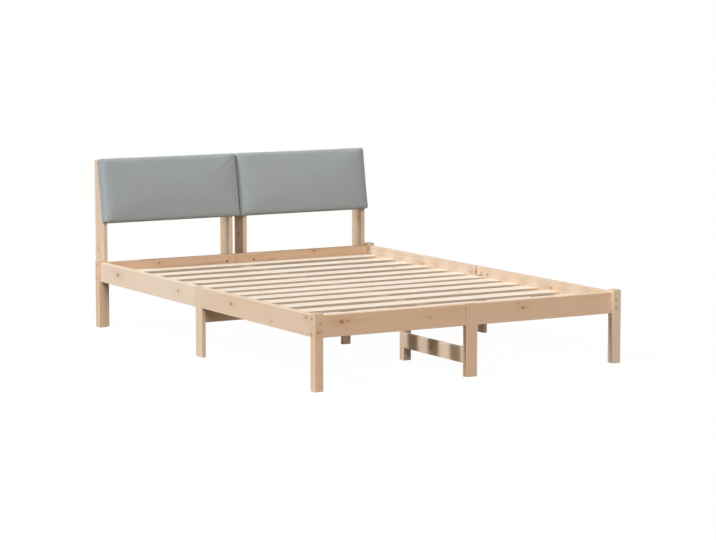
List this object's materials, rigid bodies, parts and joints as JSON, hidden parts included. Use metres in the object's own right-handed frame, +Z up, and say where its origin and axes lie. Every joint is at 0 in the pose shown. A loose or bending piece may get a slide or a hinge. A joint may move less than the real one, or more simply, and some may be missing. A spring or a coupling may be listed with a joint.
{
  "type": "bed frame",
  "caption": "Low pine double bed frame with slats, square legs, a propped middle beam and a leaning two-part cushioned headboard on plank posts.",
  "frame": {"origin": "on the floor, in the middle of the whole footprint", "axes": "+X across the bed to the right seen from the foot, +Y from the foot to the headboard, +Z up"},
  "size_m": [1.48, 2.172, 0.7839],
  "materials": {
    "pine": "bare planed pine with fine grain and small knots",
    "pale_pine": "bare pale planed pine",
    "board": "raw plywood",
    "cloth": "matte woven cloth, light grey",
    "steel": "zinc-plated, satin",
    "beech": "bare turned beech"
  },
  "bodies": {
    "root": {"foot_left_leg": "pine", "foot_right_leg": "pine", "head_left_leg": "pine", "head_right_leg": "pine", "foot_mid_leg": "pine", "head_mid_leg": "pine", "left_rail_foot": "pine", "left_rail_head": "pine", "right_rail_foot": "pine", "right_rail_head": "pine", "foot_rail_left": "pine", "foot_rail_right": "pine", "head_rail_left": "pine", "head_rail_right": "pine", "cleat_left_foot": "pine", "cleat_left_head": "pine", "cleat_right_foot": "pine", "cleat_right_head": "pine", "cross_beam": "pine", "beam_leg": "pine", "centre_rail_foot": "pine", "centre_rail_head": "pine", "prop_leg_foot": "pine", "prop_leg_head": "pine", "low_plank_foot": "pine", "low_plank_head": "pine", "slat_01": "pale_pine", "slat_02": "pale_pine", "slat_03": "pale_pine", "slat_04": "pale_pine", "slat_05": "pale_pine", "slat_06": "pale_pine", "slat_07": "pale_pine", "slat_08": "pale_pine", "slat_09": "pale_pine", "slat_10": "pale_pine", "slat_11": "pale_pine", "slat_12": "pale_pine", "slat_13": "pale_pine", "left_mid_leg": "pale_pine", "right_mid_leg": "pale_pine", "post_1": "pale_pine", "post_2": "pale_pine", "post_3": "pale_pine", "post_4": "pale_pine", "left_board": "board", "right_board": "board", "left_cushion": "cloth", "right_cushion": "cloth", "corner_bolts": "steel", "bolt_sleeves": "steel", "joining_studs": "steel", "barrel_nuts": "steel", "slat_screws": "steel", "cleat_screws": "steel", "post_screws": "steel", "angle_brackets": "steel", "bracket_screws": "steel", "wood_dowels": "beech"}
  },
  "joints": []
}
